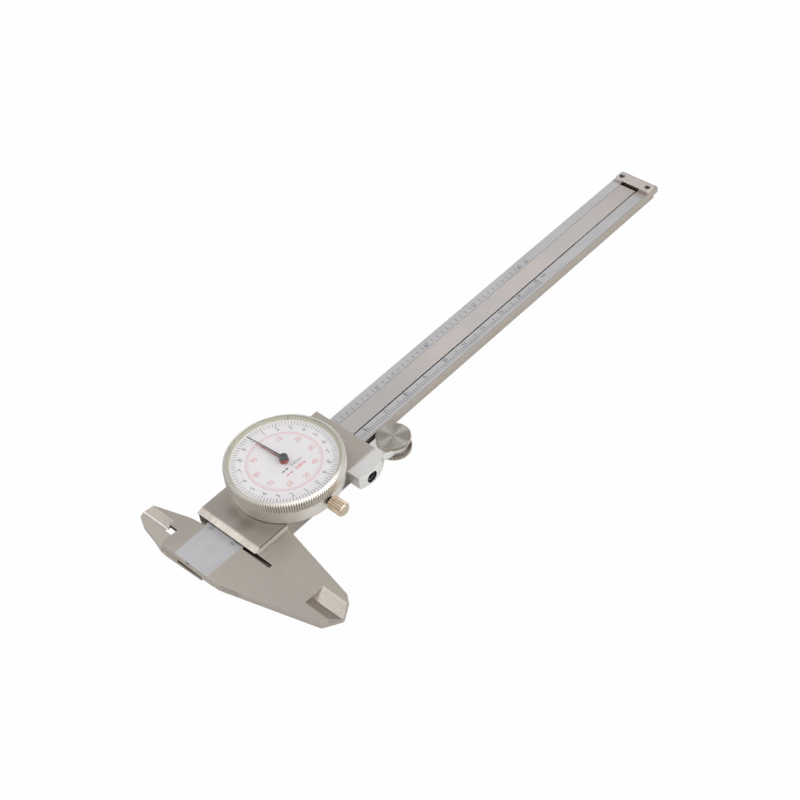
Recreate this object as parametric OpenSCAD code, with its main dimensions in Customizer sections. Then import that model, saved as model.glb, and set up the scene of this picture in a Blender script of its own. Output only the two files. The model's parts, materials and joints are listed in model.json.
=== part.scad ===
// Dual-reading dial caliper, 0 to 150 mm and 0 to 6 in, lying on its back with the jaws closed.
// X runs along the beam from the closed jaw faces, Y across it towards the inside jaws, Z up to the dial.
// The origin is on the beam's centre line, in the plane of the closed jaws and of the back plate's back face.

/* [Beam] */
// Width of the beam
beam_w = 16; // [15:0.5:18]
// Thickness of the beam and of the outside jaws
beam_t = 3.5; // [3.4:0.1:4]
// Length from the closed jaw faces to the far end
beam_l = 218; // [212:1:230]
// Length of the head behind the closed jaw faces
head_l = 15.3; // [14.5:0.1:17]
// Travel of the slider
travel = 150; // [140:1:152]
// Width of the stop bar at the far end
stop_w = 4.5; // [4.2:0.1:6]
// Thickness of the stop bar
stop_t = 1.2; // [0.8:0.1:1.6]

/* [Jaws] */
// Reach of the outside jaws from the beam's edge
jaw_reach = 41; // [36:0.5:46]
// Distance from the beam's edge at which the fixed jaw starts to narrow
jaw_shoulder = 4; // [3:0.5:6]
// Width of each outside jaw near its tip
jaw_tip_w = 5.6; // [5:0.1:7]
// Setback of the outer corner of each tip
jaw_tip_back = 3.5; // [2:0.1:5]
// Width of the movable jaw at the slider
jaw_root_w = 13.4; // [11:0.1:15]
// Length of the thinned tips
knife_l = 11.8; // [8:0.1:15]
// Width of the slope of each thinned tip
knife_w = 3.5; // [2.5:0.1:4.5]
// Thickness left on the thinned tips
knife_t = 1.5; // [1:0.1:2]
// Width of the relief slot at the root of the jaw faces
relief_w = 1; // [0.6:0.1:1.4]
// Length of the relief slot
relief_l = 11.8; // [8:0.1:14]
// Distance of the inside jaws' zero line behind the closed outside jaw faces
inside_off = 10; // [9:0.1:10.5]
// Reach of the inside jaws from the beam's edge
inside_reach = 20.5; // [18:0.5:23]
// Width of the bevel on the inside jaws
inside_bevel = 3; // [2:0.1:3.2]

/* [Slider] */
// Length of the slider
slider_l = 53.7; // [52:0.1:58]
// Thickness of the slider's side walls
wall_t = 5; // [4.6:0.1:6]
// Thickness of the bridge over the beam
bridge_t = 1.2; // [1:0.1:1.6]
// Length of the bevel at the slider's left end
bevel_l = 2.3; // [1.5:0.1:3]
// Thickness of the back plate
plate_t = 1.5; // [1.3:0.1:1.8]
// Clearance between sliding faces
run_gap = 0.1; // [0.06:0.01:0.15]
// Thickness of the gib strip
gib_t = 0.9; // [0.7:0.1:1.1]
// Width of the depth rod
rod_w = 2.8; // [2.4:0.1:3]
// Thickness of the depth rod
rod_t = 1.7; // [1.4:0.1:1.7]

/* [Dial] */
// Distance of the dial's centre from the closed jaw faces
dial_x = 27; // [26.5:0.1:28]
// Radius of the dial case
case_r = 18.5; // [18.4:0.05:18.9]
// Height of the dial case
case_h = 5.5; // [5.4:0.1:6]
// Radius of the bezel over its knurl
bezel_r = 19.45; // [19.3:0.05:20.5]
// Height of the bezel's knurled band
knurl_h = 3.6; // [3.3:0.1:4]
// Number of ribs on the bezel
bezel_ribs = 150; // [120:1:160]
// Length of the millimetre hand
black_hand_l = 15.4; // [14:0.1:16]
// Length of the inch hand
red_hand_l = 12.1; // [10:0.1:13.5]
// Radius of the bezel lock knob
lock_r = 2.1; // [1.8:0.05:2.2]
// Length of the bezel lock knob
lock_l = 6.2; // [5:0.1:7]

/* [Thumb roller] */
// Radius of the roller discs
roller_r = 5.85; // [5.5:0.05:6.2]
// Distance of the roller's axis from the slider's right end
roller_off = 7.9; // [7.2:0.1:8.6]
// Length of the block along the slider
block_l = 12.7; // [11:0.1:14]
// Radius of the block's curved outer face
block_r = 12.5; // [12:0.1:13.5]
// Radius of the arm's round end
arm_r = 4.75; // [4.4:0.05:4.9]

/* [Hidden] */
$fn = 64;

// Levels above the back
beam_z0 = plate_t + run_gap;
beam_z1 = beam_z0 + beam_t;
bridge_z0 = beam_z1 + run_gap;
bridge_z1 = bridge_z0 + bridge_t;
bevel_z = bridge_z0 + bridge_t * 0.42;
blade_z = beam_z0 + beam_t / 2;
half_w = beam_w / 2;
slider_y = half_w + wall_t;
wall_y = half_w + run_gap;
gib_y = half_w + run_gap / 2;
tip_y = half_w + jaw_reach;
inside_y = half_w + inside_reach;
root_y = half_w + 5.3;
closed_gap = 0.01;

// Fits
journal_gap = 0.03;
tooth_fill = 0.4;
flank = 20;

// Rack and pinion: one turn of the pinion is half an inch of travel
pinion_n = 20;
rack_pitch = 12.7 / pinion_n;
pinion_rp = 12.7 / (2 * PI);
rack_add = 0.16;
rack_ded = 0.22;
slit_y = -2.85;
slit_w = 0.5;
strip_y = 4.25;
strip_gap = 0.15;
cover_t = 0.8;
rack_t = 1.3;
rack_y = slit_y + pinion_rp;
rack_body = 2.6;
chan_z0 = beam_z1 - cover_t - rack_t;
chan_z1 = beam_z1 - cover_t;
chan_y0 = slit_y - pinion_rp - rack_add - 0.2;
chan_y1 = rack_y + rack_ded + rack_body;

// Dial train: 127 to 20 gives one turn of the black hand per 2 mm, 100 to 20 one of the red hand per 0.1 in
mm_n = 127;
inch_n = 100;
hand_n = 20;
tooth_add = 0.8;
tooth_ded = 1.15;
train_gap = 0.284;
case_wall = 1.2;
case_bore = case_r - case_wall;
bezel_gap = 0.08;
skirt_r = case_bore - bezel_gap;
skirt_w = 0.4;
seat_r = skirt_r - skirt_w;
mm_module = (seat_r - train_gap) / (mm_n + hand_n / 2 + tooth_add);
arbor_dist = mm_module * (mm_n + hand_n) / 2;
inch_module = 2 * arbor_dist / (inch_n + hand_n);
arbor_x = dial_x - sqrt(arbor_dist * arbor_dist - slit_y * slit_y);
mesh_dir = atan2(-slit_y, dial_x - arbor_x);
chan_x0 = arbor_x - 5;
chan_x1 = arbor_x + travel + 5;
chan_end = beam_l - 5;
cover_x1 = chan_end - 2;
arbor_r = 0.8;
neck_r = 0.2;
journal_r = 0.6;
pivot_r = 0.35;
bush_r = 2.6;
cannon_r = 0.75;
centre_r = 0.38;

// Levels inside the dial
case_z1 = bridge_z1 + case_h;
case_floor = 1;
floor_z = bridge_z1 + case_floor;
plate_z1 = floor_z + 0.8;
mm_wheel_z = plate_z1 + 0.35;
inch_wheel_z = plate_z1 + 1.9;
wheel_t = 0.5;
plate_gap = 3.8;
top_plate_z = plate_z1 + plate_gap;
top_plate_t = 0.8;
movement_r = seat_r - 1.92;
bezel_z0 = case_z1 + run_gap;
knurl_z1 = bezel_z0 + knurl_h;
rib_d = 0.5;
rim_z = knurl_z1 + 0.45;
window_r = bezel_r - 1.05;
dial_z0 = bezel_z0 + 2.3;
dial_t = 0.3;
dial_z1 = dial_z0 + dial_t;
dial_r = seat_r + 0.68;
ring_w = 0.5;
crystal_z0 = dial_z1 + 1;
crystal_t = 0.6;
crystal_h = 1.9;
red_hand_z = dial_z1 + 0.5;
black_hand_z = dial_z1 + 1.8;
black_hand_dir = 4;
red_hand_dir = 3;
hand_t = 0.2;
hand_w = 0.6;
black_hub_r = 1.4;
red_hub_r = 1.53;
red_hub_z1 = red_hand_z + 0.75;
skirt_h = 3.6;
skirt_z0 = bezel_z0 - skirt_h;
snap_z = bezel_z0 - 1.1;
snap_t = 0.4;
lock_z = bezel_z0 - 2.4;
lock_stem_r = 0.9;

// Screws
screw_r = 0.8;
head_r = 1.5;
small_r = 0.6;
slot_w = 0.36;
slot_d = 0.35;
small_head_r = 1.1;
plate_screw_x = [6, slider_l - 6];
plate_screw_y = half_w + 2.9;
gib_screw_x = [9, slider_l - 9];
pillar_dirs = [20, 100, 290];
pillar_ring = movement_r - 1.6;
case_screw_dirs = [60, 180, 315];
case_screw_ring = 10;
mid_z = beam_z0 + beam_t / 2;
rack_screw_y = rack_y + rack_ded + rack_body / 2;
rack_screw_step = (chan_x1 - chan_x0 - 34) / 3;
stop_x = beam_l - stop_w - 1.5;
stop_x1 = stop_x + stop_w;
stop_y = half_w - 0.5;
stop_c = 0.5;
stop_screw_y = half_w - 2.2;

// Thumb roller
roller_x = slider_l + roller_off;
roller_y = -half_w - roller_r - run_gap;
roller_z0 = 0.1;
disc_t = 1.45;
roller_z1 = bridge_z1 - 0.4;
arm_z0 = roller_z0 + disc_t + run_gap;
arm_z1 = roller_z1 - disc_t - run_gap;
block_z0 = 1;
block_z1 = roller_z1;
spindle_r = 2;
block_x = slider_l - block_l;
block_c = [block_x + 5.15, -slider_y + 6.5];
block_screw_x = block_x + 4.9;
block_head_r = 1.9;
block_seat_y = slider_y + 3.5;
rod_x0 = slider_l - 15;
rod_y = 5.1;

module box(x0, x1, y0, y1, z0, z1) {
  translate([x0, y0, z0]) cube([x1 - x0, y1 - y0, z1 - z0]);
}

// Prism with its outline in X and Y
module slab(points, z0, z1) {
  translate([0, 0, z0]) linear_extrude(z1 - z0) polygon(points);
}

// Prism with its outline in X and Z
module prism_y(points, y0, y1) {
  translate([0, y1, 0]) rotate([90, 0, 0]) linear_extrude(y1 - y0) polygon(points);
}

// Prism with its outline in Y and Z
module prism_x(points, x0, x1) {
  translate([x0, 0, 0]) rotate([90, 0, 90]) linear_extrude(x1 - x0) polygon(points);
}

module pin_z(x, y, z0, z1, r) {
  translate([x, y, z0]) cylinder(h = z1 - z0, r = r);
}

module pin_y(x, z, y0, y1, r) {
  translate([x, y1, z]) rotate([90, 0, 0]) cylinder(h = y1 - y0, r = r);
}

// Flat-headed screw pointing up, its head flush with the face below it, slotted where slot is true
module screw_up(x, y, z0, z1, r, rh, slot) {
  difference() {
    union() {
      pin_z(x, y, z0, z1, r);
      translate([x, y, z0]) cylinder(h = rh - r, r1 = rh, r2 = r);
    }
    if (slot) translate([x, y, z0]) cube([2 * rh + 1, slot_w, 2 * slot_d], center = true);
  }
}

// Flat-headed screw pointing down, its head flush with the face above it, slotted where slot is true
module screw_down(x, y, z0, z1, r, rh, slot) {
  difference() {
    union() {
      pin_z(x, y, z0, z1, r);
      translate([x, y, z1 - rh + r]) cylinder(h = rh - r, r1 = r, r2 = rh);
    }
    if (slot) translate([x, y, z1]) cube([2 * rh + 1, slot_w, 2 * slot_d], center = true);
  }
}

function ray(r, a) = [r * cos(a), r * sin(a)];

// Half angle that a tooth fills at a height above its pitch circle
function half_tooth(n, rp, up) = tooth_fill * 180 / n - up * tan(flank) / rp * 180 / PI;

function gear_points(n, rp, add, ded, start) = [
  for (i = [0 : n - 1])
    for (k = [[-1, -ded], [-1, add], [1, add], [1, -ded]])
      ray(rp + k[1], start + i * 360 / n + k[0] * half_tooth(n, rp, k[1]))
];

module gear(n, rp, add, ded, start, z0, z1) {
  translate([0, 0, z0]) linear_extrude(z1 - z0) polygon(gear_points(n, rp, add, ded, start));
}

// Round bar with straight knurling
module knurl(r, depth, n, h) {
  linear_extrude(h) polygon([for (i = [0 : 2 * n - 1]) ray(r - (i % 2) * depth, i * 180 / n)]);
}

// Lower outline of the fixed outside jaw, from the head's left end to the jaw face
function fixed_jaw() = [
  [-head_l, 0],
  [-head_l, -half_w],
  [-head_l + 0.3, -half_w - jaw_shoulder],
  [-jaw_tip_w, -tip_y + jaw_tip_back],
  [0, -tip_y],
  [0, 0]
];

function movable_jaw() = [
  [closed_gap, -half_w - run_gap],
  [closed_gap, -tip_y],
  [0.8, -tip_y + 0.1],
  [jaw_tip_w + 0.3, -tip_y + jaw_tip_back - 0.4],
  [jaw_tip_w + 1, -tip_y + jaw_tip_back + 0.6],
  [jaw_tip_w + 1.3, -tip_y + jaw_tip_back + 2.1],
  [jaw_root_w, -slider_y],
  [jaw_root_w, -half_w - run_gap]
];

// Slope that thins a tip on its front, with a lip of width w, on the side of the jaw face given by s
module tip_slope(s, w) {
  prism_y([[-s, beam_z1 + 1], [s * (knife_w + w), beam_z1 + 1], [s * (knife_w + w), beam_z1],
    [s * knife_w, beam_z1 - 0.4 * w], [0, beam_z0 + knife_t], [-s, beam_z0 + knife_t]],
    -tip_y - 1, -tip_y + knife_l);
}

module beam() {
  color([0.66, 0.64, 0.6]) difference() {
    union() {
      box(-head_l, beam_l, -half_w, half_w, beam_z0, beam_z1);
      slab(fixed_jaw(), beam_z0, beam_z1);
      slab([[-head_l, 0], [-head_l, root_y], [-2.7, root_y], [-2.3, half_w + 1.9], [-2.1, half_w - 1]],
        beam_z0, beam_z1);
      slab([[-inside_off, root_y - 1], [-inside_off, inside_y], [-inside_off + 3.3, inside_y - 2],
        [-2.7, root_y], [-2.7, root_y - 1]], blade_z, beam_z1);
    }
    tip_slope(-1, 0);
    slab([[-1.25 * relief_w, -half_w], [1, -half_w], [1, -half_w - relief_l],
      [-0.25 * relief_w, -half_w - relief_l]], 0, bridge_z1);
    prism_y([[-inside_off - 1, beam_z1 + 1], [-inside_off + inside_bevel, beam_z1 + 1],
      [-inside_off + inside_bevel, beam_z1], [-inside_off, blade_z], [-inside_off - 1, blade_z]],
      half_w + 9, inside_y + 1);
    box(-inside_off - 1, -inside_off + 1.3, root_y, half_w + 9, 0, bridge_z1);
    box(chan_x0, chan_end, slit_y - slit_w / 2, strip_y, chan_z1, bridge_z1);
    box(chan_x0, chan_x1, chan_y0, chan_y1, chan_z0, chan_z1);
    box(rod_x0 - 1, beam_l + 1, rod_y - rod_w / 2 - run_gap, rod_y + rod_w / 2 + run_gap,
      0, beam_z0 + rod_t + 2 * run_gap);
    box(beam_l - 2.6, beam_l + 1, -half_w - 1, -half_w + 0.9, 0, beam_z0 + 1.3);
    rack_screws();
    end_stop_screws();
  }
}

module rack() {
  first = ceil((chan_x0 - arbor_x) / rack_pitch) + 1;
  last = floor((chan_x1 - arbor_x) / rack_pitch) - 1;
  half_tip = tooth_fill * rack_pitch / 2 - rack_add * tan(flank);
  half_root = tooth_fill * rack_pitch / 2 + rack_ded * tan(flank);
  teeth = [
    for (i = [first : last])
      for (k = [[-half_root, rack_ded], [-half_tip, -rack_add], [half_tip, -rack_add], [half_root, rack_ded]])
        [arbor_x + i * rack_pitch + k[0], rack_y + k[1]]
  ];
  ends = [[chan_x1, rack_y + rack_ded], [chan_x1, chan_y1], [chan_x0, chan_y1], [chan_x0, rack_y + rack_ded]];
  color([0.55, 0.53, 0.5]) difference() {
    slab(concat(teeth, ends), chan_z0, chan_z1);
    rack_screws();
  }
}

module rack_cover() {
  color([0.72, 0.68, 0.66]) difference() {
    box(chan_x0, cover_x1, slit_y + slit_w / 2, strip_y - strip_gap, chan_z1, beam_z1);
    rack_screws();
  }
}

module rack_screws(slot = false) {
  color([0.4, 0.4, 0.4])
    for (i = [0 : 3])
      screw_up(chan_x0 + 16 + i * rack_screw_step, rack_screw_y, beam_z0, chan_z1 + cover_t / 2,
        small_r, small_head_r, slot);
}

module end_stop() {
  color([0.7, 0.69, 0.66]) difference() {
    slab([[stop_x, stop_c - stop_y], [stop_x + stop_c, -stop_y], [stop_x1 - stop_c, -stop_y],
      [stop_x1, stop_c - stop_y], [stop_x1, stop_y - stop_c], [stop_x1 - stop_c, stop_y],
      [stop_x + stop_c, stop_y], [stop_x, stop_y - stop_c]], beam_z1, beam_z1 + stop_t);
    box(stop_x - 1, stop_x1 - 1.4, slit_y - slit_w, strip_y, beam_z1 - 1, beam_z1 + 0.55);
    end_stop_screws();
  }
}

module end_stop_screws(slot = false) {
  color([0.25, 0.25, 0.25])
    for (s = [-1, 1])
      screw_down(stop_x + stop_w / 2, s * stop_screw_y, beam_z1 - 1.4, beam_z1 + stop_t,
        small_r, small_head_r, slot);
}

module slider_frame() {
  color([0.62, 0.6, 0.56]) difference() {
    union() {
      prism_y([[-0.4, bridge_z0 + 0.4], [-0.4, bridge_z0 + bridge_t * 0.42], [bevel_l - 0.4, bridge_z1],
        [slider_l, bridge_z1], [slider_l, bridge_z0], [1, bridge_z0], [1, bridge_z0 + 0.4]],
        -slider_y, slider_y);
      box(0, slider_l, half_w + gib_t + run_gap / 2, slider_y, plate_t, bridge_z0 + 0.5);
      box(closed_gap, slider_l, -slider_y, -wall_y, plate_t, bridge_z0 + 0.5);
      slab(movable_jaw(), beam_z0, beam_z1);
      prism_x([[-slider_y + 1, bridge_z1], [-slider_y, bridge_z1], [-slider_y - 0.6, beam_z1],
        [-slider_y - 0.6, beam_z1 - 0.5], [-slider_y + 1, beam_z1 - 0.5]], closed_gap, jaw_root_w);
    }
    prism_y([[-2, bevel_z], [-0.4, bevel_z], [bevel_l - 0.4, bridge_z1],
      [bevel_l - 0.4, bridge_z1 + 1], [-2, bridge_z1 + 1]], -slider_y - 1, slider_y + 1);
    tip_slope(1, 0.8);
    slab([[-1, -half_w], [0.35, -half_w], [0.15, -half_w - relief_l], [-1, -half_w - relief_l]],
      0, bridge_z0 + 0.3);
    pin_z(arbor_x, slit_y, 0, bridge_z1 + 1, bush_r);
    back_plate_screws();
    case_screws();
    pin_y(dial_x, mid_z, wall_y, slider_y + 1, 1 + journal_gap);
    gib_screws();
    block_screw();
  }
}

module back_plate() {
  blade_top = blade_z - run_gap;
  color([0.6, 0.58, 0.55]) difference() {
    union() {
      box(closed_gap, slider_l, -slider_y, slider_y, 0, plate_t);
      slab([[-head_l, -3.6], [1, -3.6], [1, wall_y], [-inside_off, root_y], [-inside_off, root_y + 1],
        [-head_l - 0.3, root_y + 1], [-head_l - 0.5, half_w + 3.9]], 0, plate_t);
      slab([[-head_l + 0.1, root_y + run_gap], [-head_l - 0.3, root_y + 1.4], [-head_l + 1, inside_y - 9.5],
        [-inside_off - 2.8, inside_y - 2.6], [-inside_off - 1.6, inside_y - 0.4],
        [-inside_off, inside_y], [-inside_off, half_w + 9.7],
        [-inside_off - 0.5, half_w + 9.7], [-inside_off - 0.5, root_y + run_gap]], 0, blade_top);
    }
    box(-head_l - 1, -head_l + 2.5, -4, half_w - 1.4, plate_t - 0.35, plate_t + 1);
    prism_y([[-inside_off + 1, -1], [-inside_off - inside_bevel, -1], [-inside_off - inside_bevel, 0],
      [-inside_off, blade_top], [-inside_off + 1, blade_top]], half_w + 9, inside_y + 1);
    back_plate_screws();
    depth_rod_screws();
  }
}

module back_plate_screws(slot = false) {
  color([0.45, 0.44, 0.42])
    for (x = plate_screw_x)
      for (s = [-1, 1])
        screw_up(x, s * plate_screw_y, 0, plate_t + 2.6, screw_r, head_r, slot);
}

module gib_strip() {
  color([0.75, 0.65, 0.4])
    box(0.8, slider_l - 0.8, gib_y, half_w + gib_t + run_gap / 2, plate_t + 0.1, bridge_z0 - 0.1);
}

module gib_screws() {
  color([0.3, 0.3, 0.3])
    for (x = gib_screw_x)
      pin_y(x, mid_z, half_w + gib_t + run_gap / 2, slider_y - 0.3, screw_r);
}

module slide_lock_screw() {
  color([0.55, 0.54, 0.52]) {
    pin_y(dial_x, mid_z, half_w + gib_t + run_gap, slider_y + 0.7, 1);
    translate([dial_x, slider_y + 5.6, mid_z]) rotate([90, 0, 0]) knurl(2.5, 0.2, 28, 5);
  }
}

module depth_rod() {
  color([0.6, 0.58, 0.55]) difference() {
    union() {
      box(rod_x0, beam_l, rod_y - rod_w / 2, rod_y + rod_w / 2, beam_z0 + run_gap, beam_z0 + run_gap + rod_t);
      box(rod_x0, slider_l - 1, rod_y - rod_w / 2, rod_y + rod_w / 2, plate_t, beam_z0 + 1);
    }
    prism_y([[beam_l - 4, 0], [beam_l + 1, 0], [beam_l + 1, beam_z0 + rod_t * 0.7]], 0, half_w);
    depth_rod_screws();
  }
}

module depth_rod_screws(slot = false) {
  color([0.45, 0.44, 0.42])
    for (x = [rod_x0 + 3, rod_x0 + 11])
      screw_up(x, rod_y, 0, beam_z0 + rod_t * 0.7, small_r, small_head_r, slot);
}

module dial_case() {
  color([0.72, 0.71, 0.67]) difference() {
    translate([dial_x, 0, 0]) rotate_extrude() polygon([
      [0, bridge_z1], [case_r - 0.3, bridge_z1], [case_r - 0.3, bridge_z1 + 0.2], [case_r, bridge_z1 + 0.2],
      [case_r, case_z1], [case_bore, case_z1],
      [case_bore, snap_z + snap_t + 0.1], [case_bore + 0.4, snap_z + snap_t + 0.1],
      [case_bore + 0.4, snap_z - 0.1], [case_bore, snap_z - 0.1], [case_bore, floor_z], [0, floor_z]]);
    pin_z(arbor_x, slit_y, bridge_z1 - 1, floor_z + 1, bush_r);
    pin_z(dial_x, 0, bridge_z1 - 1, floor_z + 1, 1);
    pin_y(dial_x, lock_z, -case_r - 1, -case_bore + 1, lock_stem_r + journal_gap);
    case_screws();
    movement_screws();
  }
}

module case_screws(slot = false) {
  color([0.4, 0.4, 0.4])
    for (a = case_screw_dirs)
      translate([dial_x, 0, 0])
        screw_down(case_screw_ring * cos(a), case_screw_ring * sin(a), bridge_z0 + 0.1, floor_z,
          small_r, small_head_r, slot);
}

// Plate of the movement with its two bearings
module bearing_plate(z0, z1, arbor_bore, centre_bore) {
  difference() {
    pin_z(dial_x, 0, z0, z1, movement_r);
    pin_z(arbor_x, slit_y, z0 - 1, z1 + 1, arbor_bore);
    pin_z(dial_x, 0, z0 - 1, z1 + 1, centre_bore);
    movement_screws();
  }
}

module movement_plate() {
  color([0.78, 0.66, 0.36]) bearing_plate(floor_z, plate_z1, bush_r, pivot_r - 0.05 + journal_gap);
}

module movement_pillars() {
  color([0.74, 0.62, 0.34]) difference() {
    for (a = pillar_dirs)
      pin_z(dial_x + pillar_ring * cos(a), pillar_ring * sin(a), plate_z1, top_plate_z, 1.2);
    movement_screws();
  }
}

module movement_bridge() {
  color([0.78, 0.66, 0.36])
    bearing_plate(top_plate_z, top_plate_z + top_plate_t, pivot_r + journal_gap, cannon_r + journal_gap);
}

module movement_screws(slot = false) {
  color([0.4, 0.4, 0.4])
    for (a = pillar_dirs)
      translate([dial_x, 0, 0])
        screw_down(pillar_ring * cos(a), pillar_ring * sin(a), floor_z - 0.7, top_plate_z + top_plate_t,
          small_r, small_head_r, slot);
}

module arbor_bush() {
  color([0.8, 0.68, 0.38]) difference() {
    pin_z(arbor_x, slit_y, bridge_z0, bridge_z1, bush_r);
    pin_z(arbor_x, slit_y, bridge_z0 - 1, bridge_z1 + 1, journal_r + journal_gap);
  }
}

module gear_arbor() {
  color([0.6, 0.6, 0.6]) translate([arbor_x, slit_y, 0]) {
    gear(pinion_n, pinion_rp, rack_add, rack_ded, 90 + 180 / pinion_n, chan_z0 + run_gap, chan_z1 - run_gap);
    pin_z(0, 0, chan_z0 + run_gap, bridge_z0 + 0.2, neck_r);
    pin_z(0, 0, bridge_z0 + 0.2, bridge_z1 + 0.1, journal_r);
    pin_z(0, 0, bridge_z1 + 0.1, top_plate_z - 0.1, arbor_r);
    pin_z(0, 0, top_plate_z - 0.1, top_plate_z + top_plate_t, pivot_r);
  }
}

// Wheel on the gear arbor with lightening holes, one tooth towards the dial's centre
module wheel(n, m, z0) {
  difference() {
    gear(n, n * m / 2, tooth_add * m, tooth_ded * m, mesh_dir, z0, z0 + wheel_t);
    pin_z(0, 0, z0 - 1, z0 + wheel_t + 1, arbor_r);
    for (i = [0 : 4])
      rotate(i * 72) pin_z(0.28 * n * m, 0, z0 - 1, z0 + wheel_t + 1, 0.11 * n * m);
  }
}

module mm_wheel() {
  color([0.8, 0.68, 0.38]) translate([arbor_x, slit_y, 0]) wheel(mm_n, mm_module, mm_wheel_z);
}

module inch_wheel() {
  color([0.8, 0.68, 0.38]) translate([arbor_x, slit_y, 0]) wheel(inch_n, inch_module, inch_wheel_z);
}

// Pinion at the dial's centre, one gap towards the gear arbor
module hand_pinion(m, z0) {
  gear(hand_n, hand_n * m / 2, tooth_add * m, tooth_ded * m, mesh_dir + 180 + 180 / hand_n,
    z0, z0 + wheel_t + 0.3);
}

module centre_arbor() {
  color([0.6, 0.6, 0.6]) translate([dial_x, 0, 0]) {
    hand_pinion(mm_module, mm_wheel_z - 0.15);
    pin_z(0, 0, floor_z, plate_z1 + 0.1, pivot_r - 0.05);
    pin_z(0, 0, plate_z1 + 0.1, black_hand_z + 0.5, centre_r);
  }
}

// Needle pointing to the top of the dial, on a hub with the given outline, bored up to a level
module hand(z, l, hub, bore, bore_z) {
  difference() {
    union() {
      slab([[-hand_w / 2, 0], [hand_w / 2, 0], [hand_w / 8, l], [-hand_w / 8, l]], z, z + hand_t);
      rotate_extrude() polygon(hub);
    }
    pin_z(0, 0, z - 1, bore_z, bore);
  }
}

module black_hand() {
  r = black_hub_r;
  z = black_hand_z;
  cap = [[0, z - 0.2], [r, z - 0.2], [r, z + 0.4], [r * 0.93, z + 0.56], [r * 0.75, z + 0.7],
    [r * 0.4, z + 0.78], [0, z + 0.8]];
  color([0.12, 0.13, 0.15]) translate([dial_x, 0, 0]) rotate(black_hand_dir)
    hand(z, black_hand_l, cap, centre_r, z + 0.5);
}

module cannon_pinion() {
  color([0.6, 0.6, 0.6]) translate([dial_x, 0, 0]) difference() {
    union() {
      hand_pinion(inch_module, inch_wheel_z - 0.15);
      pin_z(0, 0, inch_wheel_z - 0.5, red_hub_z1, cannon_r);
    }
    pin_z(0, 0, 0, black_hand_z, centre_r + journal_gap);
  }
}

module red_hand() {
  collar = [[0, red_hand_z - 0.35], [red_hub_r, red_hand_z - 0.35], [red_hub_r, red_hub_z1 - 0.2],
    [red_hub_r - 0.2, red_hub_z1], [0, red_hub_z1]];
  color([0.62, 0.16, 0.12]) translate([dial_x, 0, 0]) rotate(red_hand_dir)
    hand(red_hand_z, red_hand_l, collar, cannon_r, red_hub_z1 + 1);
}

module bezel() {
  core_r = bezel_r - rib_d - 0.05;
  lip_r = window_r + 0.25;
  color([0.75, 0.74, 0.71]) translate([dial_x, 0, 0]) difference() {
    union() {
      rotate_extrude() polygon([[seat_r, skirt_z0], [skirt_r, skirt_z0], [skirt_r, bezel_z0],
        [core_r, bezel_z0], [core_r, knurl_z1], [lip_r - 0.05, rim_z], [window_r, rim_z],
        [window_r, dial_z1], [dial_r, dial_z1], [dial_r, dial_z0], [seat_r, dial_z0]]);
      intersection() {
        translate([0, 0, bezel_z0 + 0.3]) knurl(bezel_r, rib_d, bezel_ribs, rim_z - bezel_z0 - 0.3);
        rotate_extrude() polygon([[lip_r - 0.15, bezel_z0], [bezel_r + 0.05, bezel_z0],
          [bezel_r + 0.05, rim_z - 0.8], [lip_r, rim_z], [lip_r - 0.15, rim_z]]);
      }
    }
    translate([0, 0, snap_z]) difference() {
      cylinder(h = snap_t, r = bezel_r + 1);
      cylinder(h = snap_t, r = skirt_r - 0.2);
    }
  }
}

module bezel_snap_ring() {
  color([0.5, 0.5, 0.5]) translate([dial_x, 0, 0]) difference() {
    rotate_extrude() polygon([[skirt_r - 0.2, snap_z], [case_bore + 0.3, snap_z],
      [case_bore + 0.3, snap_z + snap_t], [skirt_r - 0.2, snap_z + snap_t]]);
    translate([0, case_r, snap_z]) cube([3, 6, 2], center = true);
  }
}

module dial_face() {
  color([0.95, 0.95, 0.95]) difference() {
    pin_z(dial_x, 0, dial_z0, dial_z1, dial_r);
    pin_z(dial_x, 0, dial_z0 - 1, dial_z1 + 1, cannon_r + 0.4);
  }
}

// Ring with a sloping inner face between the dial and the window
module dial_ring() {
  color([0.8, 0.79, 0.68]) translate([dial_x, 0, 0]) rotate_extrude()
    polygon([[dial_r - ring_w, dial_z1], [window_r, dial_z1], [window_r, crystal_z0],
      [window_r - 0.25, crystal_z0]]);
}

// Points of a dome of radius r with a flat middle and a round edge, its foot at a level
function dome(r, z, h) = [for (k = [0, 0.3, 0.45, 0.57, 0.67, 0.75, 0.82, 0.88, 0.93, 0.97, 1])
  [r * k, z + h * (1 - pow(k, 6))]];

function turned_back(points) = [for (i = [len(points) - 1 : -1 : 0]) points[i]];

module crystal() {
  color([0.85, 0.9, 0.92, 0.35]) translate([dial_x, 0, 0]) rotate_extrude()
    polygon(concat(dome(window_r, crystal_z0 + crystal_t, crystal_h),
      turned_back(dome(window_r, crystal_z0, crystal_h))));
}

module bezel_lock_screw() {
  color([0.75, 0.64, 0.5]) translate([dial_x, 0, lock_z]) rotate([90, 0, 0]) {
    translate([0, 0, skirt_r + 0.06]) cylinder(h = case_r - skirt_r + 1, r = lock_stem_r);
    translate([0, 0, case_r + 0.9]) knurl(lock_r, 0.28, 20, lock_l - 0.5);
    translate([0, 0, case_r + 0.4 + lock_l]) cylinder(h = 0.4, r1 = lock_r - 0.35, r2 = lock_r - 0.65);
  }
}

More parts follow.
